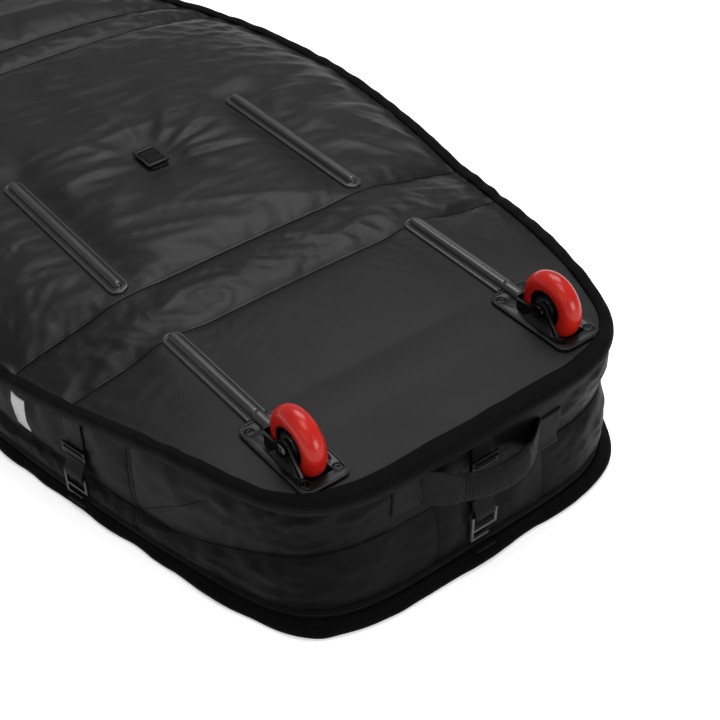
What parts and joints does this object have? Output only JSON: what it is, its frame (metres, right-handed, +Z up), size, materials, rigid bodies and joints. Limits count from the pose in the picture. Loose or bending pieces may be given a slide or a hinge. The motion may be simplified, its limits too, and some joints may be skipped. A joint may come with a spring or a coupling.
{
  "type": "wheeled snowboard bag",
  "caption": "Long padded board bag with a rounded nose, square tail, two recessed skate wheels, base skids, grab handles and a zipped lid, lying on its lid.",
  "frame": {"origin": "on the floor, under the middle of the bounding box", "axes": "+X towards the square tail with the wheels, +Z up, away from the floor that the lid lies on"},
  "size_m": [1.36, 0.682, 0.2222],
  "materials": {
    "shell_fabric": "coated ripstop, slightly shiny",
    "wall_fabric": "heavy plain weave",
    "lid_fabric": "heavy plain weave",
    "binding_tape": "grosgrain tape",
    "webbing": "woven webbing",
    "lining": "smooth lining",
    "foam": "closed-cell foam pad",
    "reflective_tape": "woven reflective tape",
    "board": "matte sheet",
    "moulded_plastic": "semi-gloss moulded",
    "hook_plastic": "semi-gloss moulded",
    "wheel_tyre": "glossy cast polyurethane",
    "bearing_steel": "ground",
    "plated_steel": "zinc plated",
    "black_steel": "black oxide",
    "spacer_aluminium": "turned",
    "zipper_metal": "satin"
  },
  "bodies": {
    "lid": {"lid_panel": "lid_fabric", "lid_foam": "foam", "lid_binding": "binding_tape", "zipper_lid_tape": "binding_tape", "lid_hook_loops": "webbing"},
    "bag": {"base_foam": "foam", "base_binding": "binding_tape", "zipper_base_tape": "binding_tape", "keeper_webbing": "webbing", "tail_handle_anchors": "webbing", "tail_strap": "webbing", "side_strap_left": "webbing", "side_strap_right": "webbing", "nose_handle_anchors": "webbing", "tie_straps": "webbing", "base_tail_panel": "shell_fabric", "base_tail_strip": "shell_fabric", "base_mid_panel": "shell_fabric", "base_nose_strip": "shell_fabric", "base_nose_panel": "shell_fabric", "tail_board": "board", "base_lining": "lining", "upper_wall_tail": "wall_fabric", "upper_wall_left": "wall_fabric", "upper_wall_right": "wall_fabric", "upper_wall_nose": "wall_fabric", "lower_wall_tail": "wall_fabric", "lower_wall_left": "wall_fabric", "lower_wall_right": "wall_fabric", "lower_wall_nose": "wall_fabric", "wheel_rail_left": "moulded_plastic", "wheel_rail_right": "moulded_plastic", "mid_skid_left": "moulded_plastic", "mid_skid_right": "moulded_plastic", "wheel_housing_left": "moulded_plastic", "wheel_housing_right": "moulded_plastic", "keeper_ladder": "moulded_plastic", "tie_buckles": "moulded_plastic", "backing_plates": "plated_steel", "housing_nuts": "plated_steel", "housing_screws": "black_steel", "axle_bolts": "black_steel", "axle_nuts": "black_steel", "side_patch": "reflective_tape"},
    "wheel_left": {"tyre_left": "wheel_tyre", "hub_left": "moulded_plastic", "bearings_left": "bearing_steel", "spacer_left": "spacer_aluminium"},
    "wheel_right": {"tyre_right": "wheel_tyre", "hub_right": "moulded_plastic", "bearings_right": "bearing_steel", "spacer_right": "spacer_aluminium"},
    "tail_handle": {"tail_handle": "webbing", "tail_handle_grip": "webbing"},
    "nose_handle": {"nose_handle": "webbing"},
    "tail_hook": {"tail_hook": "hook_plastic"},
    "side_hook_left": {"side_hook_left": "hook_plastic"},
    "side_hook_right": {"side_hook_right": "hook_plastic"},
    "zipper_slider": {"zipper_slider": "zipper_metal"},
    "zipper_pull": {"zipper_pull": "zipper_metal"}
  },
  "joints": [
    {"name": "bag_hinge", "type": "hinge", "parent": "lid", "child": "bag", "pos_m": [0, 0.3345, 0.016], "axis": [-1, 0, 0], "range_deg": [0, 90]},
    {"name": "wheel_spin_left", "type": "hinge", "parent": "bag", "child": "wheel_left", "pos_m": [0.572, -0.154, 0.18626], "axis": [0, 1, 0], "continuous": true},
    {"name": "wheel_spin_right", "type": "hinge", "parent": "bag", "child": "wheel_right", "pos_m": [0.572, 0.154, 0.18626], "axis": [0, 1, 0], "continuous": true},
    {"name": "tail_handle_swing", "type": "hinge", "parent": "bag", "child": "tail_handle", "pos_m": [0.6505, 0, 0.149], "axis": [0, -1, 0], "range_deg": [0, 65]},
    {"name": "nose_handle_swing", "type": "hinge", "parent": "bag", "child": "nose_handle", "pos_m": [-0.64, 0, 0.056], "axis": [0, 1, 0], "range_deg": [0, 75]},
    {"name": "tail_hook_swing", "type": "hinge", "parent": "bag", "child": "tail_hook", "pos_m": [0.6581, 0, 0.059], "axis": [0, -1, 0], "range_deg": [0, 80]},
    {"name": "side_hook_left_swing", "type": "hinge", "parent": "bag", "child": "side_hook_left", "pos_m": [0.3672, -0.28651, 0.051], "axis": [-0.9728, -0.2317, 0], "range_deg": [0, 80]},
    {"name": "side_hook_right_swing", "type": "hinge", "parent": "bag", "child": "side_hook_right", "pos_m": [0.3672, 0.28651, 0.051], "axis": [0.9728, -0.2317, 0], "range_deg": [0, 80]},
    {"name": "zipper_slider_travel", "type": "slide", "parent": "bag", "child": "zipper_slider", "axis": [1, 0, 0], "range_m": [0, 0.05]},
    {"name": "zipper_pull_swing", "type": "hinge", "parent": "zipper_slider", "child": "zipper_pull", "pos_m": [0.015, -0.3382, 0.02], "axis": [0, 0, -1], "range_deg": [0, 90]}
  ]
}
